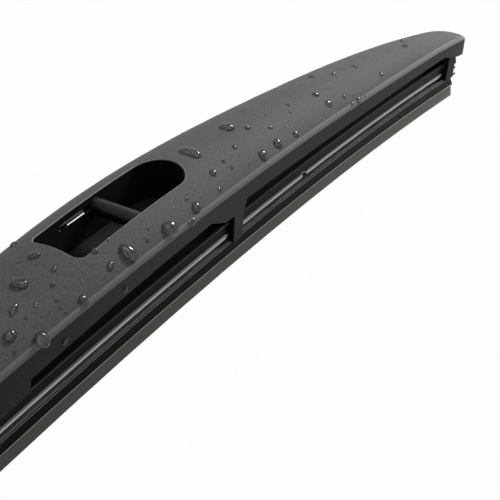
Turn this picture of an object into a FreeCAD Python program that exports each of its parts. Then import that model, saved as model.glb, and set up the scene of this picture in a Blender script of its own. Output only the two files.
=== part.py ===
import FreeCAD, Part
import os
import Sketcher
from FreeCAD import Vector, Rotation, Placement

# Rear wiper blade: an arched one-piece plastic body with claws, a rubber strip and its two steel rails.
# The long axis is X, the wiping lip points down, and the origin is the middle of the cross pin's axis.
# Heights in the sheet are measured up from the lip's edge below the pin, and each piece is then lowered to
# the origin. The rubber and rails follow an arc about an axis far below, so both ends of the blade droop.

doc = FreeCAD.newDocument("wiper_blade")
sheet = doc.addObject("Spreadsheet::Sheet", "Sizes")

sizes = [
    ("bow_radius", 1031.6, "radius of the arc the rubber follows, at the lip's edge"),
    ("rubber_half_length", 129.6, "half of the rubber's length along the arc"),
    ("end_slant", 22.0, "lean of the rubber's end cuts from upright, in degrees"),
    ("end_start", 2.0, "how far below the lip's corner an end cutter starts"),
    ("end_cutter", 20.0, "length of an end cutter"),
    ("rail_half_length", 118.5, "half of a rail's length along the arc"),
    ("lip_half", 0.4, "half thickness of the lip at its edge"),
    ("lip_height", 3.0, "height of the lip up to its shoulder"),
    ("neck_half", 0.7, "half thickness of the neck"),
    ("flange_bottom", 6.3, "height of the flange's underside"),
    ("flange_half", 1.75, "half width of the flange"),
    ("flange_thick", 0.65, "thickness of the flange"),
    ("core_half", 0.9, "half thickness of the core between the grooves"),
    ("ledge_bottom", 8.0, "height of the ledge under the rails"),
    ("ledge_thick", 0.45, "thickness of the ledge"),
    ("ledge_half", 1.85, "half width of the ledge"),
    ("rail_thick", 1.0, "thickness of a steel rail"),
    ("rail_half", 2.3, "distance from mid plane to a rail's outer edge"),
    ("head_half", 2.1, "half width of the rubber's head"),
    ("head_top", 11.3, "height of the head's top"),
    ("body_half_length", 127.1, "half of the body's length"),
    ("body_half_mid", 8.95, "half width of the body at the cross pin"),
    ("body_half_tip", 3.15, "half width of the body at the tips"),
    ("width_power", 2.7, "how late the body's width tapers"),
    ("crease_mid", 24.4, "height of the crease at the cross pin"),
    ("crease_drop", 16.2, "drop of the crease from the middle to the tips"),
    ("drop_power", 1.36, "how the crease's drop grows along the blade"),
    ("tip_dip", 0.55, "further drop of the crease close to the tips"),
    ("pinch_left", 1.25, "how far the crease draws in a third of the way out on the left"),
    ("pinch_right", 0.75, "the same on the right"),
    ("pinch_outer", 0.87, "the same two thirds of the way out"),
    ("pinch_tip", 0.55, "the same near the tips"),
    ("pinch_lift", 1.1, "rise of the crease for each millimetre that it draws in"),
    ("arch_ratio", 0.415, "rise of the arched top over the half width"),
    ("arch_tip", 0.12, "the same at the tips"),
    ("skirt_lean", 0.25, "inward lean of the skirts"),
    ("lean_tip", 0.04, "the same at the tips"),
    ("wall", 1.6, "wall thickness of the body"),
    ("skirt_mid", 4.2, "skirt depth at the cross pin"),
    ("skirt_inner", 3.35, "skirt depth a quarter of the way out"),
    ("skirt_half", 2.6, "skirt depth half way out"),
    ("skirt_outer", 2.1, "skirt depth two thirds of the way out"),
    ("skirt_tip", 4.2, "skirt depth at the tips"),
    ("tab_drop", 2.15, "how much lower the skirt hangs at an inner claw"),
    ("tab_length", 5.7, "length of that lower tab"),
    ("tab_ramp", 5.0, "length of the slope up to the skirt on the tab's left"),
    ("tab_right", 22.7, "distance from the pin to the end of the tab on the right"),
    ("tab_left", 29.3, "distance from the pin to the end of the tab on the left"),
    ("window_half", 4.2, "half width of the arm window"),
    ("window_left", 14.6, "length of the window from the pin to its square end"),
    ("window_right", 13.5, "length of the window from the pin to its round end"),
    ("corner_radius", 1.5, "radius of the corners at the window's square end"),
    ("clear_high", 12.0, "height of the cutters above the window's floor"),
    ("window_floor", 20.8, "height of the floor below the window"),
    ("floor_thick", 1.2, "thickness of that floor"),
    ("box_wall", 1.2, "thickness of the walls round the window"),
    ("pin_dia", 2.6, "diameter of the cross pin"),
    ("pin_height", 25.3, "height of the cross pin's axis"),
    ("slot_inner", 1.0, "distance from the pin to the inner end of the slot in the far wall"),
    ("slot_length", 7.0, "length of that slot"),
    ("slot_high", 0.55, "height of that slot"),
    ("slot_level", 25.75, "height of the slot's middle on the wall's inside"),
    ("slot_tilt", 53.0, "downward tilt of the slot, in degrees"),
    ("slot_depth", 4.0, "depth of the slot along its tilt"),
    ("slot_lead", 0.8, "how far inside the window the slot's cutter starts"),
    ("drain_start", 2.8, "distance from the pin to the left end of the drain notch in the far skirt"),
    ("drain_length", 6.6, "length of the drain notch"),
    ("drain_top", 22.6, "height of the drain notch's top"),
    ("notch_place", 52.4, "distance from the middle to the notch in a rail's edge"),
    ("notch_length", 1.4, "length of that notch"),
    ("notch_depth", 0.6, "depth of that notch"),
    ("claw_length", 2.8, "length of an inner claw along the blade"),
    ("claw_right", 28.2, "distance from the pin to the inner claw on the right"),
    ("claw_left", 32.3, "distance from the pin to the inner claw on the left"),
    ("claw_tip_inset", 8.5, "distance from the body's end to a tip claw"),
    ("claw_tip_length", 4.0, "length of a tip claw"),
    ("claw_half", 3.05, "half width of a claw's jaw"),
    ("claw_bottom", 7.4, "height of the claw lips' underside"),
    ("claw_lip_gap", 1.15, "half gap between the two lips of a claw"),
    ("claw_side_gap", 2.45, "distance from mid plane to a jaw's inner side"),
    ("claw_shoulder", 12.5, "height where a jaw starts to spread"),
    ("claw_wing_half", 4.6, "half width of an inner claw where it meets the body"),
    ("claw_spread", 7.0, "height over which an inner claw spreads"),
    ("claw_root", 1.6, "how far an inner claw's top stands above the crease beside it"),
    ("claw_tip_root", 0.2, "the same for a tip claw"),
]
for row, (alias, number, note) in enumerate(sizes, start=1):
    sheet.set("A%d" % row, note)
    sheet.set("B%d" % row, str(number))
    sheet.setAlias("B%d" % row, alias)
doc.recompute()

ACROSS = Rotation(Vector(1, 1, 1), 120)
names = [alias for alias, number, note in sizes]


def bind(text):
    """Put the sheet's name before every alias in an expression."""
    out, word = "", ""
    for ch in text + " ":
        if ch.isalnum() or ch == "_":
            word += ch
            continue
        out += ("Sizes." + word if word in names else word) + ch
        word = ""
    return out.strip()


def value(text):
    found = sheet.evalExpression(bind(text))
    return float(getattr(found, "Value", found))


def pin_point(sketch, geo, pos, y, z):
    """Hold one sketch point at two bound distances from the sketch's origin."""
    for kind, text in (("DistanceX", y), ("DistanceY", z)):
        index = sketch.addConstraint(Sketcher.Constraint(kind, -1, 1, geo, pos, value(text)))
        sketch.setExpression("Constraints[%d]" % index, bind(text))


def outline(name, points):
    """A closed sketch across the blade through the points given as pairs of expressions."""
    sketch = doc.addObject("Sketcher::SketchObject", name)
    sketch.Placement = Placement(Vector(0, 0, 0), ACROSS)
    flat = [Vector(value(y), value(z), 0) for y, z in points]
    for i, start in enumerate(flat):
        sketch.addGeometry(Part.LineSegment(start, flat[(i + 1) % len(flat)]), False)
    for i in range(len(flat)):
        sketch.addConstraint(Sketcher.Constraint("Coincident", i, 2, (i + 1) % len(flat), 1))
    for i, (y, z) in enumerate(points):
        pin_point(sketch, i, 1, y, z)
    return sketch


def swept(name, sketch, half_angle, middle="0"):
    """Turn a section about the bow's axis; half angle and middle are lengths along the lip's arc."""
    turn = doc.addObject("Part::Revolution", name)
    turn.Source = sketch
    turn.Axis = Vector(0, 1, 0)
    turn.Solid = True
    turn.Symmetric = True
    turn.setExpression("Base.z", bind("-bow_radius"))
    turn.setExpression("Angle", bind("2 * (%s) / bow_radius * 180 / pi" % half_angle))
    if middle != "0":
        swing = "((%s) / bow_radius * 180 / pi)" % middle
        turn.Placement = Placement(Vector(0, 0, 0), Rotation(Vector(0, 1, 0), 1))
        turn.setExpression("Placement.Rotation.Angle", bind(swing))
        turn.setExpression("Placement.Base.x", bind("bow_radius * sin(%s * 1 deg)" % swing))
        turn.setExpression("Placement.Base.z", bind("bow_radius * (cos(%s * 1 deg) - 1)" % swing))
    return turn


def box(name, length, width, height, x, y, z):
    block = doc.addObject("Part::Box", name)
    for prop, text in (("Length", length), ("Width", width), ("Height", height),
                       ("Placement.Base.x", x), ("Placement.Base.y", y), ("Placement.Base.z", z)):
        block.setExpression(prop, bind(text))
    return block


def joined(name, pieces):
    both = doc.addObject("Part::MultiFuse", name)
    both.Shapes = pieces
    both.Refine = True
    return both


def taken(name, base, tool):
    cut = doc.addObject("Part::Cut", name)
    cut.Base = base
    cut.Tool = tool
    cut.Refine = True
    return cut


# The rubber strip: lip, shoulder, neck, flange, claw groove, ledge, rail groove and head.
right_side = [
    ("lip_half", "0"),
    ("lip_half + 0.1", "lip_height - 0.1"),
    ("neck_half + 0.15", "lip_height + 0.1"),
    ("neck_half + 0.15", "lip_height + 0.6"),
    ("neck_half - 0.1", "lip_height + 1.5"),
    ("neck_half", "flange_bottom - 0.15"),
    ("flange_half", "flange_bottom"),
    ("flange_half", "flange_bottom + flange_thick"),
    ("core_half", "flange_bottom + flange_thick + 0.05"),
    ("core_half", "ledge_bottom"),
    ("ledge_half", "ledge_bottom"),
    ("ledge_half", "ledge_bottom + ledge_thick"),
    ("core_half", "ledge_bottom + ledge_thick"),
    ("core_half", "ledge_bottom + ledge_thick + rail_thick"),
    ("head_half", "ledge_bottom + ledge_thick + rail_thick"),
    ("head_half", "head_top - 0.4"),
    ("head_half - 0.4", "head_top"),
]
left_side = [("-(%s)" % y, z) for y, z in reversed(right_side)]
strip = swept("rubber_strip", outline("rubber_section", right_side + left_side), "rubber_half_length")
half_swing = "(rubber_half_length / bow_radius * 180 / pi * 1 deg)"
lip_end_x = "bow_radius * sin(%s)" % half_swing
lip_end_z = "bow_radius * (cos(%s) - 1)" % half_swing
ends = []
for label, sign, back in (("right", "", "0"), ("left", "-", "end_cutter")):
    end = doc.addObject("Part::Box", "end_cut_" + label)
    end.Placement = Placement(Vector(0, 0, 0), Rotation(Vector(0, 1, 0), 1))
    end.setExpression("Length", bind("end_cutter"))
    end.setExpression("Width", bind("4 * head_half"))
    end.setExpression("Height", bind("2 * head_top + 2 * end_start"))
    end.setExpression("Placement.Rotation.Angle", bind("-%send_slant" % sign))
    lean_x, lean_z = "sin(end_slant * 1 deg)", "cos(end_slant * 1 deg)"
    end.setExpression("Placement.Base.x", bind(
        "%s(%s + end_start * %s) - %s * %s" % (sign, lip_end_x, lean_x, back, lean_z)))
    end.setExpression("Placement.Base.y", bind("-2 * head_half"))
    end.setExpression("Placement.Base.z", bind("%s - end_start + %s * %s" % (lip_end_z, back, lean_x)))
    ends.append(end)
rubber = taken("wiper_rubber", strip, joined("end_cuts", ends))
rubber.Label = "wiper_rubber"

# The two steel rails, one in each side groove of the head.
rail_low = "ledge_bottom + ledge_thick"
rail_high = "ledge_bottom + ledge_thick + rail_thick"


def rail(name, side):
    """A rail with a small notch in its outer edge towards each end."""
    bar = swept(name + "_bar", outline(name + "_section", [
        (side + "core_half", rail_low), (side + "rail_half", rail_low), (side + "rail_half", rail_high),
        (side + "core_half", rail_high)]), "rail_half_length")
    notch_side = side + "(rail_half - notch_depth)"
    open_side = side + "(rail_half + 1)"
    under, over = rail_low + " - 0.2", rail_high + " + 0.2"
    notches = []
    for label, end in (("right", ""), ("left", "-")):
        stem = "%s_notch_%s" % (name, label)
        section = outline(stem + "_section", [(notch_side, under), (open_side, under), (open_side, over),
                                              (notch_side, over)])
        notches.append(swept(stem, section, "notch_length / 2", end + "notch_place"))
    made = taken(name, bar, joined(name + "_notches", notches))
    made.Label = name
    return made


near_rail = rail("near_rail", "-")
far_rail = rail("far_rail", "")

# Stations along half of the body: share of the half length, depth of the uncut skirt, share of plan width,
# and how far the crease draws in on the left and on the right.
deep = "(skirt_mid + tab_drop + 0.6)"
stations = [
    ("0", deep, "1", "0", "0"),
    ("0.36", deep, "1", "pinch_left", "pinch_right"),
    ("0.68", "(skirt_tip + 1)", "1", "pinch_outer", "pinch_outer"),
    ("0.88", "(skirt_tip + 0.6)", "1", "pinch_tip", "pinch_tip"),
    ("0.97", "(skirt_tip + 0.3)", "0.985", "pinch_tip * 0.4", "pinch_tip * 0.4"),
    ("1", "(skirt_tip + 0.3)", "0.88", "0", "0"),
]


def crease_at(share):
    return "(crease_mid - crease_drop * (%s) ^ drop_power - tip_dip * (%s) ^ 20)" % (share, share)


def arch(name, share, depth, plan, pinch, side, inset):
    """An arched section of the body, or of the hollow inside it when an inset is given."""
    wide = "((body_half_mid - (body_half_mid - body_half_tip) * %s ^ width_power) * %s)" % (share, plan)
    low = "(%s - (%s))" % (crease_at(share), depth)
    foot = "(%s - (skirt_lean - (skirt_lean - lean_tip) * %s ^ 6) * (%s))" % (wide, share, depth)
    half = "(%s - %s)" % (wide, pinch)
    crease = "(%s + %s * pinch_lift)" % (crease_at(share), pinch)
    rise = "(%s * (arch_ratio - (arch_ratio - arch_tip) * %s ^ 10))" % (half, share)
    if inset:
        half = "(%s - %s)" % (half, inset)
        foot = "(%s - %s)" % (foot, inset)
        rise = "(%s - %s * 0.6)" % (rise, inset)
        crease = "(%s - %s * 0.5)" % (crease, inset)
        low = "(%s - 3)" % low
    sketch = doc.addObject("Sketcher::SketchObject", name)
    sketch.Placement = Placement(Vector(0, 0, 0), ACROSS)
    sketch.setExpression("Placement.Base.x", bind("%d * body_half_length * %s" % (side, share)))
    b, c, r, l, f = (value(t) for t in (half, crease, rise, low, foot))
    centre = "(%s + %s - (%s ^ 2 + %s ^ 2) / (2 * %s))" % (crease, rise, half, rise, rise)
    sketch.addGeometry(Part.LineSegment(Vector(-f, l, 0), Vector(-b, c, 0)), False)
    sketch.addGeometry(Part.Arc(Vector(b, c, 0), Vector(0, c + r, 0), Vector(-b, c, 0)), False)
    sketch.addGeometry(Part.LineSegment(Vector(b, c, 0), Vector(f, l, 0)), False)
    sketch.addGeometry(Part.LineSegment(Vector(f, l, 0), Vector(-f, l, 0)), False)
    for one, a, two, e in ((0, 2, 1, 2), (1, 1, 2, 1), (2, 2, 3, 1), (3, 2, 0, 1)):
        sketch.addConstraint(Sketcher.Constraint("Coincident", one, a, two, e))
    sketch.addConstraint(Sketcher.Constraint("PointOnObject", 1, 3, -2))
    pin_point(sketch, 0, 1, "-" + foot, low)
    pin_point(sketch, 2, 2, foot, low)
    pin_point(sketch, 0, 2, "-" + half, crease)
    index = sketch.addConstraint(Sketcher.Constraint("DistanceY", -1, 1, 2, 1, c))
    sketch.setExpression("Constraints[%d]" % index, bind(crease))
    index = sketch.addConstraint(Sketcher.Constraint("DistanceY", -1, 1, 1, 3, value(centre)))
    sketch.setExpression("Constraints[%d]" % index, bind(centre))
    return sketch


def lofted(name, stem, rows, inset):
    sections = []
    for side, part in ((-1, list(reversed(rows[1:]))), (1, rows)):
        for k, (share, depth, plan, left, right) in enumerate(part):
            label = "%s_%s_%d" % (stem, "left" if side < 0 else "right", k)
            sections.append(arch(label, share, depth, plan, left if side < 0 else right, side, inset))
    loft = doc.addObject("Part::Loft", name)
    loft.Sections = sections
    loft.Solid = True
    loft.Ruled = False
    return loft


shell = lofted("shell_outside", "outer", stations, "")
inner_rows = stations[:4]
hollow = lofted("shell_hollow", "inner", inner_rows, "wall")

# The side view of the skirts' lower edge, with a tab that hangs lower at each inner claw.
quarter, half_way, outer, tip = "0.24", "0.48", "0.67", "0.94"


def edge_point(x, depth):
    side = "-" if x.startswith("-") else ""
    return (x, "%s - (%s)" % (crease_at("%s(%s) / body_half_length" % (side, x)), depth))


def part_way(x, start, end, first, last):
    """Skirt depth at x, straight between two stations given as shares of the half length."""
    span = "((%s) / body_half_length - %s) / (%s - %s)" % (x, start, end, start)
    return "(%s + (%s - %s) * %s)" % (first, last, first, span)


lower_edge = [edge_point("-body_half_length * %s" % s, d) for s, d in (
    ("1", "skirt_tip"), (tip, "skirt_tip * 0.85"), ("0.88", "skirt_outer"), ("0.78", "skirt_outer"),
    (outer, "skirt_outer"), ("0.58", "(skirt_half + skirt_outer) / 2"), (half_way, "skirt_half"))]
left_depth = part_way("tab_left + tab_length", quarter, half_way, "skirt_inner", "skirt_half")
lower_edge += [
    edge_point("-(tab_left + tab_length + tab_ramp)", left_depth),
    edge_point("-(tab_left + tab_length)", left_depth + " + tab_drop"),
    edge_point("-(tab_left)", "skirt_inner + tab_drop"),
    edge_point("-(tab_left)", "skirt_inner"),
]
right_depth = part_way("tab_right", "0", quarter, "skirt_mid", "skirt_inner")
near_pin = "body_half_length * 0.1"
lower_edge += [
    edge_point("-" + near_pin, part_way(near_pin, "0", quarter, "skirt_mid", "skirt_inner")),
    edge_point("0 * body_half_length", "skirt_mid"),
    edge_point("tab_right - tab_length - tab_ramp", right_depth),
    edge_point("tab_right - tab_length", right_depth + " + tab_drop"),
    edge_point("tab_right", right_depth + " + tab_drop"),
    edge_point("tab_right", right_depth),
]
lower_edge += [edge_point("body_half_length * %s" % s, d) for s, d in (
    (quarter, "skirt_inner"), ("0.36", "(skirt_inner + skirt_half) / 2"), (half_way, "skirt_half"),
    ("0.58", "(skirt_half + skirt_outer) / 2"), (outer, "skirt_outer"), ("0.78", "skirt_outer"),
    ("0.88", "skirt_outer"), (tip, "skirt_tip * 0.85"), ("1", "skirt_tip"))]
last_z = lower_edge[-1][1]
beyond, depth = "(body_half_length + 5)", "-(crease_mid + crease_drop)"
below = [(beyond, last_z), (beyond, depth), ("-" + beyond, depth), ("-" + beyond, last_z)]
side_view = outline("skirt_side_view", lower_edge + below)
side_view.Placement = Placement(Vector(0, 0, 0), Rotation(Vector(1, 0, 0), 90))
trim = doc.addObject("Part::Extrusion", "skirt_trim")
trim.Base = side_view
trim.DirMode = "Custom"
trim.Dir = Vector(0, 1, 0)
trim.Symmetric = True
trim.Solid = True
trim.setExpression("LengthFwd", bind("4 * body_half_mid"))
cover = taken("cover", shell, joined("inside_and_below", [hollow, trim]))

# The box below the window: two long walls, two end walls and a floor, trimmed to the outside of the body.
box_length = "window_left + window_right + 2 * box_wall"
box_half = "(window_half + box_wall)"
well = box("well_block", box_length, "2 * " + box_half, "clear_high + floor_thick", "-window_left - box_wall",
           "-" + box_half, "window_floor - floor_thick")
trimmed = doc.addObject("Part::MultiCommon", "well")
trimmed.Shapes = [well, shell]

# Claws: thin legs that spread a little into the body at the inner places and stand straight at the tips.
def claw(name, x, length, inner):
    """One claw at a distance from the pin; the sign of x gives the side."""
    side = "-" if x.startswith("-") else ""
    fall = "(%s) ^ 2 / (2 * bow_radius)" % x
    crease = crease_at("%s(%s) / body_half_length" % (side, x))
    leg = [("claw_half", "claw_bottom")]
    if inner:
        leg += [("claw_half", "claw_shoulder"), ("claw_wing_half", "claw_shoulder + claw_spread"),
                ("claw_wing_half", "%s + %s + claw_root" % (crease, fall))]
    else:
        leg += [("claw_half", "%s + %s + claw_tip_root" % (crease, fall))]
    section = outline(name + "_section", leg + [("-" + y, z) for y, z in reversed(leg)])
    return swept(name, section, "%s / 2" % length, x)


tip_place = "(body_half_length - claw_tip_inset)"
claws = [
    claw("claw_inner_right", "claw_right", "claw_length", True),
    claw("claw_inner_left", "-claw_left", "claw_length", True),
    claw("claw_tip_right", tip_place, "claw_tip_length", False),
    claw("claw_tip_left", "-" + tip_place, "claw_tip_length", False),
]
mass = joined("cover_with_claws", [cover, trimmed] + claws)

# The channel the claws leave for the rubber's head, the rails and the groove under the ledge.
room = [
    ("claw_lip_gap", "claw_bottom - 1"),
    ("claw_lip_gap", "ledge_bottom"),
    ("claw_side_gap", "ledge_bottom"),
    ("claw_side_gap", "head_top"),
]
channel = swept("channel", outline("channel_section", room + [("-" + y, z) for y, z in reversed(room)]),
                "rubber_half_length + 4")

# The window: square at the left with rounded corners, fully round at the right.
window_straight = box("window_straight", "window_left + window_right - window_half - corner_radius",
                      "2 * window_half", "clear_high", "-window_left + corner_radius", "-window_half",
                      "window_floor")
window_corner = box("window_corner", "window_left", "2 * (window_half - corner_radius)", "clear_high",
                    "-window_left", "-window_half + corner_radius", "window_floor")
round_end = doc.addObject("Part::Cylinder", "window_round_end")
round_end.setExpression("Height", bind("clear_high"))
round_end.setExpression("Radius", bind("window_half"))
round_end.setExpression("Placement.Base.x", bind("window_right - window_half"))
round_end.setExpression("Placement.Base.z", bind("window_floor"))
corners = []
for label, sign in (("near", "-"), ("far", "")):
    corner = doc.addObject("Part::Cylinder", "window_corner_" + label)
    corner.setExpression("Height", bind("clear_high"))
    corner.setExpression("Radius", bind("corner_radius"))
    corner.setExpression("Placement.Base.x", bind("-window_left + corner_radius"))
    corner.setExpression("Placement.Base.y", bind("%s(window_half - corner_radius)" % sign))
    corner.setExpression("Placement.Base.z", bind("window_floor"))
    corners.append(corner)

# A slot in the far wall that falls outwards, and a drain notch in the far skirt behind it.
slot = doc.addObject("Part::Box", "wall_slot")
slot.Placement = Placement(Vector(0, 0, 0), Rotation(Vector(-1, 0, 0), 1))
slot.setExpression("Length", bind("slot_length"))
slot.setExpression("Width", bind("slot_depth"))
slot.setExpression("Height", bind("slot_high"))
slot.setExpression("Placement.Rotation.Angle", bind("slot_tilt"))
slot.setExpression("Placement.Base.x", bind("-slot_inner - slot_length"))
slot.setExpression("Placement.Base.y", bind("window_half - slot_lead"))
slot.setExpression("Placement.Base.z", bind(
    "slot_level + slot_lead * tan(slot_tilt * 1 deg) - slot_high / (2 * cos(slot_tilt * 1 deg))"))
drain = box("drain_notch", "drain_length", "body_half_mid", "clear_high", "-drain_start",
            "body_half_mid * 0.7", "drain_top - clear_high")
cutters = [window_straight, window_corner, round_end, slot, drain, channel] + corners
room_for_arm = joined("openings", cutters)
opened = taken("opened_body", mass, room_for_arm)

# The cross pin that the wiper arm's hook takes hold of.
pin = doc.addObject("Part::Cylinder", "cross_pin")
pin.Placement = Placement(Vector(0, 0, 0), Rotation(Vector(1, 0, 0), -90))
pin.setExpression("Radius", bind("pin_dia / 2"))
pin.setExpression("Height", bind("2 * window_half + box_wall"))
pin.setExpression("Placement.Base.y", bind("-window_half - box_wall / 2"))
pin.setExpression("Placement.Base.z", bind("pin_height"))
body = joined("blade_body", [opened, pin])
body.Label = "blade_body"

for piece in (body, rubber, near_rail, far_rail):
    piece.setExpression("Placement.Base.z", bind("-pin_height"))
doc.recompute()

for thing in doc.Objects:
    if "Invalid" in thing.State or "Error" in thing.State:
        raise RuntimeError("%s did not build: %s" % (thing.Label, thing.State))
os.makedirs("parts", exist_ok=True)
for thing in (body, rubber, near_rail, far_rail):
    shape = thing.Shape
    if shape.isNull() or not shape.isValid() or len(shape.Solids) != 1:
        raise RuntimeError("%s is not one sound solid" % thing.Label)
    shape.exportStep("parts/%s.step" % thing.Label)
    print(thing.Label, "volume", round(shape.Volume, 1), "box", shape.BoundBox)
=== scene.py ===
import bmesh
import bpy
import math
import random
from mathutils import Matrix, Vector
from mathutils.bvhtree import BVHTree


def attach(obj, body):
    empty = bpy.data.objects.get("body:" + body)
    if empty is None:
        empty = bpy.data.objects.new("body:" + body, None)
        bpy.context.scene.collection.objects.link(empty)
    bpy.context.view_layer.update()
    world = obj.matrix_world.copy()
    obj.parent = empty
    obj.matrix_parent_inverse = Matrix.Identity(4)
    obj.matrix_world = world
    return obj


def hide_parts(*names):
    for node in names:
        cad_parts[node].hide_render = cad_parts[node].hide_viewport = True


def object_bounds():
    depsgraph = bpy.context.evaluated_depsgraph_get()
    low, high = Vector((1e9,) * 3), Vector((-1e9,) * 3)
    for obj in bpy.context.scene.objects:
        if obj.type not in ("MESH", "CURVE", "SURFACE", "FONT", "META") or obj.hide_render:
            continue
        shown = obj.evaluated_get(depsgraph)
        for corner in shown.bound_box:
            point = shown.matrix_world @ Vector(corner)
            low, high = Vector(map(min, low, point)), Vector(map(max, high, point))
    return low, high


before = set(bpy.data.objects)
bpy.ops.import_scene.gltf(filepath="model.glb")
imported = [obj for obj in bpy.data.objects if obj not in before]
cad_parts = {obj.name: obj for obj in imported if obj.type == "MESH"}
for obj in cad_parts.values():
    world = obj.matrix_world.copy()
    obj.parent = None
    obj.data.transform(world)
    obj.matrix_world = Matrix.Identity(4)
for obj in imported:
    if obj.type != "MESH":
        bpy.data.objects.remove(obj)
cad_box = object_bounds()
scene = bpy.context.scene
scene.view_settings.view_transform = "Standard"
MM = 0.001

# The bow that the rubber follows, and heights on the strip above its lip's edge.
BOW_RADIUS = 1031.6 * MM
LIP_LEVEL = -25.3 * MM
LIP_TOP = 3.0 * MM
FLANGE_LOW = 6.3 * MM
FLANGE_HIGH = 6.95 * MM
RAIL_MIDDLE = 8.95 * MM
HEAD_HIGH = 11.3 * MM

# The body's half length, and its half width and crease height along that length.
BODY_HALF_LENGTH = 127.1 * MM
BODY_HALF_MID = 8.95 * MM
BODY_TAPER = 5.8 * MM
TAPER_POWER = 2.7
CREASE_MID = -0.9 * MM
CREASE_DROP = 16.2 * MM
CREASE_POWER = 1.36

# How far the crease draws in, in millimetres, at places from -1 to 1, and its rise per millimetre.
PINCH_PLACES = (-1, -0.97, -0.88, -0.68, -0.36, 0, 0.36, 0.68, 0.88, 0.97, 1)
PINCH_DEPTHS = (0, 0.22, 0.55, 0.87, 1.25, 0, 0.75, 0.87, 0.55, 0.22, 0)
PINCH_LIFT = 1.1

# The photograph's view, in degrees, pixels of a square image, and metres.
VIEW_AZIMUTH = -60.64
VIEW_ELEVATION = 33.0
VIEW_ROLL = 2.11
VIEW_FOCAL = 1238.85
VIEW_DISTANCE = 187.84 * MM
VIEW_SIDE = 500
VIEW_MIDDLE = VIEW_SIDE / 2
AIM_PIXEL = (123.4, 356.75)
AIM_POINT = Vector((0, 0, LIP_LEVEL))
SENSOR_WIDTH = 36.0
NEAR_CLIP = 5 * MM


def view_axes():
    """Right, up and back of the camera, in the row frame."""
    turn, lift, roll = (math.radians(a) for a in (VIEW_AZIMUTH, VIEW_ELEVATION, VIEW_ROLL))
    back = Vector((math.sin(turn) * math.cos(lift), -math.cos(turn) * math.cos(lift),
                   math.sin(lift)))
    level = Vector((math.cos(turn), math.sin(turn), 0))
    rise = back.cross(level)
    right = level * math.cos(roll) + rise * math.sin(roll)
    up = rise * math.cos(roll) - level * math.sin(roll)
    return right, up, back


RIGHT, UP, BACK = view_axes()
EYE = (AIM_POINT - RIGHT * (AIM_PIXEL[0] - VIEW_MIDDLE) * VIEW_DISTANCE / VIEW_FOCAL
       + UP * (AIM_PIXEL[1] - VIEW_MIDDLE) * VIEW_DISTANCE / VIEW_FOCAL + BACK * VIEW_DISTANCE)


def sight_line(x, y):
    """Unit vector from the eye through a pixel of the photograph."""
    ray = RIGHT * (x - VIEW_MIDDLE) - UP * (y - VIEW_MIDDLE) - BACK * VIEW_FOCAL
    return ray.normalized()


def set_camera():
    """The photograph's camera."""
    data = bpy.data.cameras.new("photo_camera")
    data.sensor_fit = "HORIZONTAL"
    data.sensor_width = SENSOR_WIDTH
    data.lens = VIEW_FOCAL / VIEW_SIDE * SENSOR_WIDTH
    data.clip_start = NEAR_CLIP
    camera = bpy.data.objects.new("photo_camera", data)
    scene.collection.objects.link(camera)
    turn = Matrix((RIGHT, UP, BACK)).transposed()
    camera.matrix_world = Matrix.Translation(EYE) @ turn.to_4x4()
    scene.camera = camera


set_camera()


def add_math(nodes, links, operation, *values):
    """Output of a Math node whose inputs are numbers or the outputs of other nodes."""
    node = nodes.new("ShaderNodeMath")
    node.operation = operation
    for socket, value in zip(node.inputs, values):
        if isinstance(value, bpy.types.NodeSocket):
            links.new(value, socket)
        else:
            socket.default_value = value
    return node.outputs["Value"]


def show_mix(tree, factor, first, second, output):
    """Send a mix of two shaders to a tree's output node."""
    blend = tree.nodes.new("ShaderNodeMixShader")
    tree.links.new(factor, blend.inputs["Fac"])
    tree.links.new(first, blend.inputs[1])
    tree.links.new(second, blend.inputs[2])
    tree.links.new(blend.outputs["Shader"], tree.nodes[output].inputs["Surface"])


def grain_group():
    """Moulded grain: a fine height for bump, a fine speckle and a broad change of tone."""
    group = bpy.data.node_groups.new("moulded_grain", "ShaderNodeTree")
    group.interface.new_socket("Scale", in_out="INPUT", socket_type="NodeSocketFloat")
    for name in ("Height", "Speckle", "Tone"):
        group.interface.new_socket(name, in_out="OUTPUT", socket_type="NodeSocketFloat")
    nodes, links = group.nodes, group.links
    entry = nodes.new("NodeGroupInput")
    leave = nodes.new("NodeGroupOutput")
    place = nodes.new("ShaderNodeTexCoord")
    fine = nodes.new("ShaderNodeTexNoise")
    fine.inputs["Detail"].default_value = 3.0
    fine.inputs["Roughness"].default_value = 0.6
    broad = nodes.new("ShaderNodeTexNoise")
    broad.inputs["Scale"].default_value = 85.0
    broad.inputs["Detail"].default_value = 5.0
    spread = nodes.new("ShaderNodeMapRange")
    spread.inputs["From Min"].default_value = 0.32
    spread.inputs["From Max"].default_value = 0.68
    for texture in (fine, broad):
        links.new(place.outputs["Object"], texture.inputs["Vector"])
    links.new(entry.outputs["Scale"], fine.inputs["Scale"])
    links.new(fine.outputs["Fac"], leave.inputs["Height"])
    links.new(fine.outputs["Fac"], spread.inputs["Value"])
    links.new(spread.outputs["Result"], leave.inputs["Speckle"])
    links.new(broad.outputs["Fac"], leave.inputs["Tone"])
    return group


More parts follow.
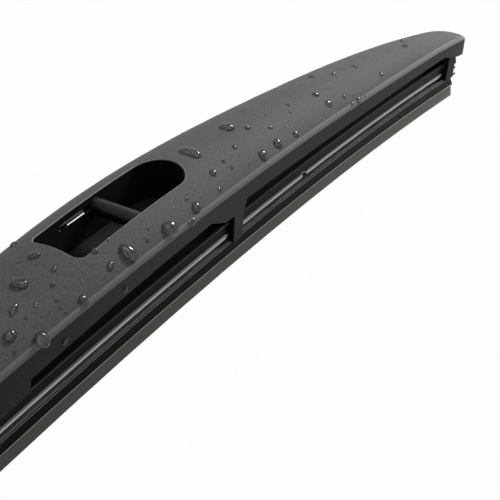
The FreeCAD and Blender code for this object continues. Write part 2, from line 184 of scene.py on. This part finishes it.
def strip_height_group():
    """Height of a point above the lip's edge, measured square to the bow."""
    group = bpy.data.node_groups.new("strip_height", "ShaderNodeTree")
    group.interface.new_socket("Height", in_out="OUTPUT", socket_type="NodeSocketFloat")
    nodes, links = group.nodes, group.links
    leave = nodes.new("NodeGroupOutput")
    place = nodes.new("ShaderNodeTexCoord")
    flat = nodes.new("ShaderNodeVectorMath")
    flat.operation = "MULTIPLY_ADD"
    flat.inputs[1].default_value = (1, 0, 1)
    flat.inputs[2].default_value = (0, 0, BOW_RADIUS - LIP_LEVEL)
    reach = nodes.new("ShaderNodeVectorMath")
    reach.operation = "LENGTH"
    links.new(place.outputs["Object"], flat.inputs[0])
    links.new(flat.outputs["Vector"], reach.inputs[0])
    height = add_math(nodes, links, "SUBTRACT", reach.outputs["Value"], BOW_RADIUS)
    links.new(height, leave.inputs["Height"])
    return group


GRAIN = grain_group()
STRIP_HEIGHT = strip_height_group()
BUMP_DEPTH = 0.05 * MM


class Finish:
    """A material whose colour, roughness and bump come from the grain group."""

    def __init__(self, name, dark, light, rough, grain, bump,
                 specular=0.5, metallic=0.0, speckle=0.35):
        self.material = bpy.data.materials.new(name)
        self.material.use_nodes = True
        self.nodes, self.links = self.material.node_tree.nodes, self.material.node_tree.links
        self.shader = self.nodes["Principled BSDF"]
        self.shader.inputs["Metallic"].default_value = metallic
        self.shader.inputs["Specular IOR Level"].default_value = specular
        surface = self.nodes.new("ShaderNodeGroup")
        surface.node_tree = GRAIN
        surface.inputs["Scale"].default_value = grain
        blend = self.nodes.new("ShaderNodeMix")
        blend.inputs["Factor"].default_value = speckle
        self.links.new(surface.outputs["Tone"], blend.inputs["A"])
        self.links.new(surface.outputs["Speckle"], blend.inputs["B"])
        self.colour = self.mix(blend.outputs["Result"], dark, light)
        gloss = self.nodes.new("ShaderNodeMapRange")
        gloss.inputs["To Min"].default_value = rough[0]
        gloss.inputs["To Max"].default_value = rough[1]
        self.links.new(surface.outputs["Tone"], gloss.inputs["Value"])
        self.links.new(gloss.outputs["Result"], self.shader.inputs["Roughness"])
        relief = self.nodes.new("ShaderNodeBump")
        relief.inputs["Strength"].default_value = bump
        relief.inputs["Distance"].default_value = BUMP_DEPTH
        self.links.new(surface.outputs["Height"], relief.inputs["Height"])
        self.links.new(relief.outputs["Normal"], self.shader.inputs["Normal"])
        self.show()

    def mix(self, factor, first, second):
        """Mix two colours, each a fixed colour or the output of another node."""
        node = self.nodes.new("ShaderNodeMix")
        node.data_type = "RGBA"
        self.links.new(factor, node.inputs["Factor"])
        for socket, colour in (("A", first), ("B", second)):
            if isinstance(colour, tuple):
                node.inputs[socket].default_value = (*colour, 1)
            else:
                self.links.new(colour, node.inputs[socket])
        return node.outputs["Result"]

    def show(self):
        """Send the colour made so far to the shader."""
        self.links.new(self.colour, self.shader.inputs["Base Color"])

    def step(self, height, edge, soft, start, end):
        """A soft step from one value to another at an edge's height."""
        node = self.nodes.new("ShaderNodeMapRange")
        node.inputs["From Min"].default_value = edge - soft
        node.inputs["From Max"].default_value = edge + soft
        node.inputs["To Min"].default_value = start
        node.inputs["To Max"].default_value = end
        self.links.new(height, node.inputs["Value"])
        return node.outputs["Result"]

    def banded(self, bands):
        """Lay colours over bands of heights on the strip, real bands or painted highlight lines.
        """
        level = self.nodes.new("ShaderNodeGroup")
        level.node_tree = STRIP_HEIGHT
        height = level.outputs["Height"]
        for low, high, soft, colour, strength in bands:
            rise = self.step(height, low, soft, 0.0, 1.0)
            fall = self.step(height, high, soft, strength, 0.0)
            mask = add_math(self.nodes, self.links, "MULTIPLY", rise, fall)
            self.colour = self.mix(mask, self.colour, colour)
        self.show()
        return self


# Bands of colour on the strip, the grey wiping band and painted highlight lines: lower and upper
# height, softness, colour and strength.
HIGHLIGHT_SOFT = 0.04 * MM
FLANGE_HIGHLIGHT = (0.80, 0.80, 0.78)
WIPING_BAND_AND_HIGHLIGHTS = (
    (-1 * MM, LIP_TOP - 0.12 * MM, 0.12 * MM, (0.245, 0.245, 0.220), 0.92),
    # Painted highlight lines along the lip's shoulder, both edges of the flange and the head.
    (LIP_TOP + 0.08 * MM, LIP_TOP + 0.3 * MM, HIGHLIGHT_SOFT, (0.84, 0.84, 0.80), 1.0),
    (FLANGE_LOW - 0.02 * MM, FLANGE_LOW + 0.14 * MM, HIGHLIGHT_SOFT, FLANGE_HIGHLIGHT, 1.0),
    (FLANGE_HIGH - 0.12 * MM, FLANGE_HIGH + 0.03 * MM, HIGHLIGHT_SOFT, FLANGE_HIGHLIGHT, 1.0),
    (HEAD_HIGH - 0.45 * MM, HEAD_HIGH - 0.28 * MM, 0.05 * MM, (0.26, 0.26, 0.25), 1.0),
)
RAIL_HIGHLIGHT_BANDS = (
    # A painted highlight line along the rail's rolled edge.
    (RAIL_MIDDLE - 0.2 * MM, RAIL_MIDDLE + 0.1 * MM, 0.16 * MM, (0.36, 0.36, 0.352), 1.0),
)

body_plastic = Finish(
    "body_plastic", (0.050, 0.050, 0.052), (0.112, 0.112, 0.115), rough=(0.52, 0.64),
    grain=4000, bump=0.9, specular=0.04, speckle=0.6).material
# A darker copy of the plastic on the outer sides, as painted shade.
shaded_skirt_plastic = Finish(
    "shaded_skirt_plastic", (0.019, 0.019, 0.020), (0.046, 0.046, 0.048), rough=(0.5, 0.6),
    grain=4000, bump=0.7, specular=0.04, speckle=0.6).material
# A paler copy of the plastic on edges round the top, as painted highlight.
edge_highlight_plastic = Finish(
    "edge_highlight_plastic", (0.110, 0.110, 0.114), (0.185, 0.185, 0.190), rough=(0.42, 0.54),
    grain=4000, bump=0.5, specular=0.2, speckle=0.5).material
# A darker copy of the plastic inside the body, as painted shade.
shaded_inner_plastic = Finish(
    "shaded_inner_plastic", (0.010, 0.010, 0.011), (0.018, 0.018, 0.019), rough=(0.40, 0.52),
    grain=3800, bump=0.3, specular=0.06).material
# A darker copy of the plastic on the pin inside the window, as painted shade.
shaded_pin_plastic = Finish(
    "shaded_pin_plastic", (0.010, 0.010, 0.011), (0.020, 0.020, 0.021), rough=(0.28, 0.40),
    grain=3800, bump=0.2, specular=0.16).material
# Black rubber with a flat grey wiping band and painted highlight lines along its moulded edges.
strip_rubber = Finish(
    "strip_rubber", (0.007, 0.007, 0.007), (0.014, 0.014, 0.013), rough=(0.30, 0.42),
    grain=2500, bump=0.12, specular=0.02).banded(WIPING_BAND_AND_HIGHLIGHTS).material
# Dull steel with a painted highlight line along the strip's rolled edge.
rail_steel = Finish(
    "rail_steel", (0.06, 0.06, 0.06), (0.10, 0.10, 0.098), rough=(0.20, 0.28),
    grain=900, bump=0.03, metallic=1.0, speckle=0.2).banded(RAIL_HIGHLIGHT_BANDS).material


def water_material():
    """Water, tinted grey and darker round its rim as painted shade, that lets part of the lamps'
    light through to what it wets.
    """
    material = bpy.data.materials.new("water")
    material.use_nodes = True
    tree = material.node_tree
    shader = tree.nodes["Principled BSDF"]
    shader.inputs["Roughness"].default_value = 0.0
    shader.inputs["IOR"].default_value = 1.33
    shader.inputs["Specular IOR Level"].default_value = 0.25
    shader.inputs["Transmission Weight"].default_value = 1.0
    # A grey tint, darker still round the rim, as painted shade.
    slope = tree.nodes.new("ShaderNodeLayerWeight")
    slope.inputs["Blend"].default_value = 0.68
    shade_tint = tree.nodes.new("ShaderNodeMix")
    shade_tint.data_type = "RGBA"
    shade_tint.inputs["A"].default_value = (0.52, 0.52, 0.54, 1)
    shade_tint.inputs["B"].default_value = (0.01, 0.01, 0.01, 1)
    tree.links.new(slope.outputs["Facing"], shade_tint.inputs["Factor"])
    tree.links.new(shade_tint.outputs["Result"], shader.inputs["Base Color"])
    through = tree.nodes.new("ShaderNodeBsdfTransparent")
    through.inputs["Color"].default_value = (0.22, 0.22, 0.23, 1)
    path = tree.nodes.new("ShaderNodeLightPath")
    show_mix(tree, path.outputs["Is Shadow Ray"], shader.outputs["BSDF"],
             through.outputs["BSDF"], "Material Output")
    return material


water = water_material()

# Skins: the angle of a sharp edge, the merging of doubles, and the widths of broken edges, the
# first a band of painted highlight round the body's top.
SHARP_ANGLE = math.radians(28)
MERGE_DISTANCE = 0.002 * MM
HIGHLIGHT_EDGE_WIDTH = 0.6 * MM
WINDOW_RIM_SHARE = 0.3
BODY_EDGE = 0.2 * MM
RUBBER_EDGE = 0.08 * MM
RAIL_EDGE = 0.4 * MM

# How the body's faces are told apart, by place and by the least share of their normal.
PIN_REACH = 1.35 * MM
WINDOW_HALF = 4.2 * MM
TOP_BELOW_CREASE = 0.9 * MM
TOP_NORMAL = 0.3
SIDE_BAND = 2.6 * MM
SIDE_NORMAL = 0.5
END_SHARE = 0.995
END_NORMAL = 0.6
# The darker copies on the outer sides, inside and pin are painted shade; the paler one on edges
# round the top is painted highlight.
BODY_SLOTS = {"top": 0, "edge_highlight": 1, "inside": 2, "pin": 3, "outer": 4}
BODY_MATERIALS = (body_plastic, edge_highlight_plastic, shaded_inner_plastic, shaded_pin_plastic, shaded_skirt_plastic)


def new_object(shape, name, materials):
    """Turn a bmesh into an object in the scene."""
    mesh = bpy.data.meshes.new(name)
    shape.to_mesh(mesh)
    shape.free()
    for material in materials:
        mesh.materials.append(material)
    piece = bpy.data.objects.new(name, mesh)
    scene.collection.objects.link(piece)
    return piece


def merged_copy(node):
    """A bmesh copy of a CAD node's mesh, its doubles merged, smooth but for its sharp edges."""
    shape = bmesh.new()
    shape.from_mesh(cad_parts[node].data)
    bmesh.ops.remove_doubles(shape, verts=shape.verts, dist=MERGE_DISTANCE)
    for face in shape.faces:
        face.smooth = True
        face.material_index = 0
    for edge in shape.edges:
        edge.smooth = not (edge.is_manifold and edge.calc_face_angle(0) > SHARP_ANGLE)
    shape.normal_update()
    return shape


def break_edges(piece, name, width, steps, limit):
    """Round a piece's edges, those that are sharp or those with a bevel weight."""
    soft = piece.modifiers.new(name, "BEVEL")
    soft.width = width
    soft.segments = steps
    soft.limit_method = limit
    soft.angle_limit = SHARP_ANGLE
    soft.harden_normals = True
    return soft


def dressed(node, shape, materials):
    """A finished skin that stands for a CAD node."""
    piece = new_object(shape, node + "_skin", materials)
    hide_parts(node)
    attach(piece, "root")
    return piece


def pinch_at(place):
    """How far the crease draws in at a place from -1 to 1 along the body."""
    for k in range(1, len(PINCH_PLACES)):
        low, high = PINCH_PLACES[k - 1], PINCH_PLACES[k]
        if place <= high:
            part = max((place - low) / (high - low), 0)
            return (PINCH_DEPTHS[k - 1] + (PINCH_DEPTHS[k] - PINCH_DEPTHS[k - 1]) * part) * MM
    return 0.0


def side_of_body(face):
    """Whether a face of the body is on its top, its outer sides, its pin or inside."""
    middle, normal = face.calc_center_median(), face.normal
    share = min(abs(middle.x) / BODY_HALF_LENGTH, 1)
    pinch = pinch_at(middle.x / BODY_HALF_LENGTH)
    half = BODY_HALF_MID - BODY_TAPER * share ** TAPER_POWER - pinch
    crease = CREASE_MID - CREASE_DROP * share ** CREASE_POWER + pinch * PINCH_LIFT
    if max(abs(middle.x), abs(middle.z)) < PIN_REACH and abs(middle.y) < WINDOW_HALF:
        return "pin"
    if normal.z > TOP_NORMAL and middle.z > crease - TOP_BELOW_CREASE:
        return "top"
    faces_out = normal.y * middle.y > 0 and abs(normal.y) > SIDE_NORMAL
    if faces_out and abs(middle.y) > half - SIDE_BAND:
        return "outer"
    if abs(normal.x) > END_NORMAL and share > END_SHARE:
        return "outer"
    return "inside"


def make_body():
    """The body with a grained top, darker outer sides and inside as painted shade, and paler
    broken edges round its top as painted highlight.
    """
    shape = merged_copy("blade_body")
    sides = {face: side_of_body(face) for face in shape.faces}
    for face, side in sides.items():
        face.material_index = BODY_SLOTS[side]
    # Edges between the top and the outer sides or the window rim take the paler finish, a painted
    # highlight.
    weight = shape.edges.layers.float.new("bevel_weight_edge")
    for edge in shape.edges:
        if edge.smooth or not edge.is_convex:
            continue
        around = {sides[face] for face in edge.link_faces}
        if "top" in around and len(around) == 2:
            edge[weight] = 1.0 if "outer" in around else WINDOW_RIM_SHARE
    piece = dressed("blade_body", shape, BODY_MATERIALS)
    edge_highlight = break_edges(piece, "highlight_edges", HIGHLIGHT_EDGE_WIDTH, 4, "WEIGHT")
    edge_highlight.material = BODY_SLOTS["edge_highlight"]
    edge_highlight.use_clamp_overlap = False
    break_edges(piece, "broken_edges", BODY_EDGE, 2, "ANGLE")
    return piece


body_skin = make_body()
rubber_skin = dressed("wiper_rubber", merged_copy("wiper_rubber"), (strip_rubber,))
break_edges(rubber_skin, "broken_edges", RUBBER_EDGE, 2, "ANGLE")
for node in ("near_rail", "far_rail"):
    rail_skin = dressed(node, merged_copy(node), (rail_steel,))
    break_edges(rail_skin, "rolled_edges", RAIL_EDGE, 4, "ANGLE")

# Water drops: pixel of the photograph, width in pixels, length over width, and turn in degrees.
DROPS = [
    (20, 284, 14, 1.3, 100), (42, 340, 17, 1.1, 0), (128.5, 253, 17, 1.25, 95),
    (170, 229, 18, 1.1, 0), (190.7, 153, 13, 1.75, 97), (227, 128, 13, 1.2, 88),
    (10, 336, 13, 1.1, 0), (196.5, 207, 11, 1.25, 40), (278, 143.5, 11, 1.15, 0),
    (263, 155.4, 11, 1.2, 30), (13.6, 245, 8, 1.2, 0), (35, 255.6, 11, 1.1, 0),
    (13.6, 310, 7.5, 2.4, 29), (54, 269.5, 5, 2.2, 29), (53, 285, 5, 1.1, 0),
    (57, 300, 4, 1.2, 0), (84, 301, 9, 1.4, 85), (65, 340.5, 6, 1.1, 0),
    (95, 251, 7, 1.0, 0), (110.6, 266, 7, 1.8, 29), (147.6, 240, 5, 1.1, 0),
    (193, 222, 7, 1.4, 10), (173, 187, 5, 1.0, 0), (213, 173, 8, 1.1, 0),
    (234.7, 147, 6, 1.2, 0), (247.5, 128, 6, 1.1, 0), (270.5, 127.6, 5, 1.0, 0),
    (296, 134, 7, 1.3, 0), (315.5, 94.8, 7, 1.2, 0), (328.6, 104, 8, 1.2, 20),
    (311, 77, 6, 1.0, 0), (333, 74, 5, 1.0, 0), (354.6, 66.6, 6, 1.1, 0),
    (381.6, 74.8, 6, 1.1, 0), (403, 41, 6, 1.3, 0), (405, 46, 6, 1.1, 0),
    (359, 100, 7, 1.4, 0), (125, 289, 6, 1.3, 70), (18.6, 262, 4, 1.2, 70),
    (35.7, 305, 4, 1.0, 0), (187, 199, 4, 1.0, 0), (219.7, 190, 4, 1.3, 80),
    (223.4, 161.7, 4, 1.0, 0), (232, 167.5, 4, 1.0, 0), (242, 111, 4, 1.0, 0),
    (288, 105, 4, 1.0, 0), (290, 112, 3, 1.0, 0), (344, 97, 4, 1.0, 0),
    (392.5, 84, 4, 1.0, 0), (64, 342, 5, 1.3, 70), (189, 223, 4, 1.2, 0),
    (199, 221, 3, 1.0, 0), (352, 104, 4, 1.2, 0), (365, 96, 3, 1.0, 0),
    (148, 230, 3, 1.0, 0), (108, 240, 3, 1.0, 0), (60, 308, 3, 1.0, 0),
    (66, 313, 3, 1.0, 0), (15, 352, 4, 1.0, 0), (26, 318, 3, 1.0, 0),
]
DROP_SEED = 7
DROP_ROUND_STEPS = 22
DROP_RISE_STEPS = 12
DROP_LEAN = 0.12
DROP_SWELL = (0.02, 0.09)
DROP_PHASE = 6.28
DROP_HEIGHT_SHARE = 0.66
DROP_LIFT_SHARE = 0.05
MIRROR_FROM = 36 * MM

# Fine mist: the top that it covers, in millimetres, how it crowds to the sides, and its sizes.
MIST_SEED = 11
MIST_COUNT = 620
MIST_HALF_LENGTH = 122
MIST_HALF_WIDTH = 9.0
MIST_CROWDING = 1.7
MIST_WIDTH = (0.10 * MM, 0.42 * MM)
MIST_SMALLNESS = 3
MIST_HEIGHT_SHARE = 0.6
MIST_LOWEST = -18 * MM
MIST_FALL_FROM = 50 * MM


def surface_of(piece):
    """A piece's finished surface, for casting rays on it."""
    graph = bpy.context.evaluated_depsgraph_get()
    return BVHTree.FromObject(piece, graph)


def seat(point, normal):
    """Matrix that stands on a point with Z along the normal and X along the blade."""
    along = (Vector((1, 0, 0)) - normal * normal.x).normalized()
    turn = Matrix((along, normal.cross(along), normal)).transposed()
    return Matrix.Translation(point) @ turn.to_4x4()


def add_drop(shape, place, width, length, turn, chance):
    """One domed drop with an uneven outline, sunk a little into the surface."""
    verts = bmesh.ops.create_uvsphere(
        shape, u_segments=DROP_ROUND_STEPS, v_segments=DROP_RISE_STEPS, radius=1.0)["verts"]
    lean = chance.uniform(-DROP_LEAN, DROP_LEAN)
    swell = chance.uniform(*DROP_SWELL)
    phase = chance.uniform(0, DROP_PHASE)
    for vert in verts:
        x, y, z = vert.co
        around = math.atan2(y, x)
        waves = math.cos(2 * around + phase) + 0.5 * math.cos(3 * around - phase)
        reach = 1 + swell * waves
        vert.co = Vector((x * reach + lean * max(z, 0), y * reach, z))
    half = width / 2
    size = Matrix.Diagonal((half * length, half, half * DROP_HEIGHT_SHARE, 1))
    lift = Matrix.Translation((0, 0, width * DROP_LIFT_SHARE))
    spin = Matrix.Rotation(math.radians(turn), 4, "Z")
    bmesh.ops.transform(shape, matrix=place @ lift @ spin @ size, verts=verts)


def add_fine_drop(shape, place, width):
    """One speck of mist."""
    verts = bmesh.ops.create_icosphere(shape, subdivisions=1, radius=1.0)["verts"]
    half = width / 2
    size = Matrix.Diagonal((half, half, half * MIST_HEIGHT_SHARE, 1))
    bmesh.ops.transform(shape, matrix=place @ size, verts=verts)


def mirrored(point, normal):
    """A place on the surface, carried to the blade's other end."""
    return Vector((-point.x, point.y, point.z)), Vector((-normal.x, normal.y, normal.z))


def water_piece(shape, name):
    """A piece of water that rides on the blade."""
    for face in shape.faces:
        face.smooth = True
    piece = new_object(shape, name, (water,))
    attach(piece, "root")


def add_drops(surface):
    """The drops the photograph shows, with those far from the middle on the other end too."""
    chance = random.Random(DROP_SEED)
    shape = bmesh.new()
    for x, y, width_px, length, turn in DROPS:
        ray = sight_line(x, y)
        point, normal, _, reach = surface.ray_cast(EYE, ray)
        if point is None:
            continue
        width = width_px * reach * abs(ray.dot(BACK)) / VIEW_FOCAL
        add_drop(shape, seat(point, normal), width, length, turn, chance)
        if point.x > MIRROR_FROM:
            add_drop(shape, seat(*mirrored(point, normal)), width, length, -turn, chance)
    water_piece(shape, "water_drops")


def add_mist(surface):
    """Fine specks of water over the top, thickest towards its sides."""
    chance = random.Random(MIST_SEED)
    shape = bmesh.new()
    for _ in range(MIST_COUNT):
        x = chance.uniform(-MIST_HALF_LENGTH, MIST_HALF_LENGTH) * MM
        side = chance.choice((-1, 1))
        y = side * (MIST_HALF_WIDTH * (1 - chance.random() ** MIST_CROWDING)) * MM
        start = Vector((x, y, MIST_FALL_FROM))
        point, normal, _, _ = surface.ray_cast(start, Vector((0, 0, -1)))
        if point is None or normal.z < TOP_NORMAL or point.z < MIST_LOWEST:
            continue
        spread = MIST_WIDTH[1] - MIST_WIDTH[0]
        width = MIST_WIDTH[0] + spread * chance.random() ** MIST_SMALLNESS
        add_fine_drop(shape, seat(point, normal), width)
    water_piece(shape, "fine_mist")


body_surface = surface_of(body_skin)
add_drops(body_surface)
add_mist(body_surface)

# The floor, the faint even light, and the lamps: name, place, aim, size and power.
FLOOR_GAP = 1.0 * MM
FLOOR_HALF = 4.0
FLOOR_GREY = (0.3, 0.3, 0.3, 1)
FLOOR_WHITE_SHARE = 0.98
WHITE = (1, 1, 1, 1)
AMBIENT = 0.08
LAMPS = (
    ("right_key", (0.485, -0.045, 0.33), (0.03, 0, 0), 0.18, 4.0),
    ("overhead", (0.05, -0.05, 0.5), (0.03, 0, 0), 0.4, 0.8),
    ("front_strip", (0.42, -0.28, 0.2), (0.04, 0, -0.01), 0.10, 0.15),
)


def seen_rays(nodes, links):
    """One for a ray that shows the background, also in gloss or water, nought for lighting."""
    path = nodes.new("ShaderNodeLightPath")
    seen = path.outputs["Is Camera Ray"]
    for name in ("Is Glossy Ray", "Is Transmission Ray"):
        seen = add_math(nodes, links, "MAXIMUM", seen, path.outputs[name])
    direct = add_math(nodes, links, "LESS_THAN", path.outputs["Diffuse Depth"], 0.5)
    return add_math(nodes, links, "MULTIPLY", seen, direct)


def add_floor():
    """A plain pale floor a little below the drooping ends of the lip."""
    low = cad_box[0][2] - FLOOR_GAP
    shape = bmesh.new()
    bmesh.ops.create_grid(shape, x_segments=1, y_segments=1, size=FLOOR_HALF)
    bmesh.ops.translate(shape, verts=shape.verts, vec=(0, 0, low))
    material = bpy.data.materials.new("pale_floor")
    material.use_nodes = True
    tree = material.node_tree
    shader = tree.nodes["Principled BSDF"]
    shader.inputs["Base Color"].default_value = FLOOR_GREY
    shader.inputs["Roughness"].default_value = 0.9
    glow = tree.nodes.new("ShaderNodeEmission")
    glow.inputs["Color"].default_value = WHITE
    seen = seen_rays(tree.nodes, tree.links)
    share = add_math(tree.nodes, tree.links, "MULTIPLY", seen, FLOOR_WHITE_SHARE)
    show_mix(tree, share, shader.outputs["BSDF"], glow.outputs["Emission"], "Material Output")
    floor = new_object(shape, "floor", (material,))


def add_lamp(name, place, aim, size, power):
    """A round lamp turned to its aim."""
    data = bpy.data.lights.new(name, "AREA")
    data.shape = "DISK"
    data.size = size
    data.energy = power
    lamp = bpy.data.objects.new(name, data)
    scene.collection.objects.link(lamp)
    lamp.location = place
    lamp.rotation_euler = (Vector(aim) - Vector(place)).to_track_quat("-Z", "Y").to_euler()


def add_world():
    """Faint even light, with plain white where the background is seen."""
    world = bpy.data.worlds.new("studio")
    scene.world = world
    world.use_nodes = True
    tree = world.node_tree
    ambient = tree.nodes["Background"]
    ambient.inputs["Color"].default_value = WHITE
    ambient.inputs["Strength"].default_value = AMBIENT
    white = tree.nodes.new("ShaderNodeBackground")
    white.inputs["Color"].default_value = WHITE
    show_mix(tree, seen_rays(tree.nodes, tree.links), ambient.outputs["Background"],
             white.outputs["Background"], "World Output")


add_floor()
add_world()
for lamp in LAMPS:
    add_lamp(*lamp)
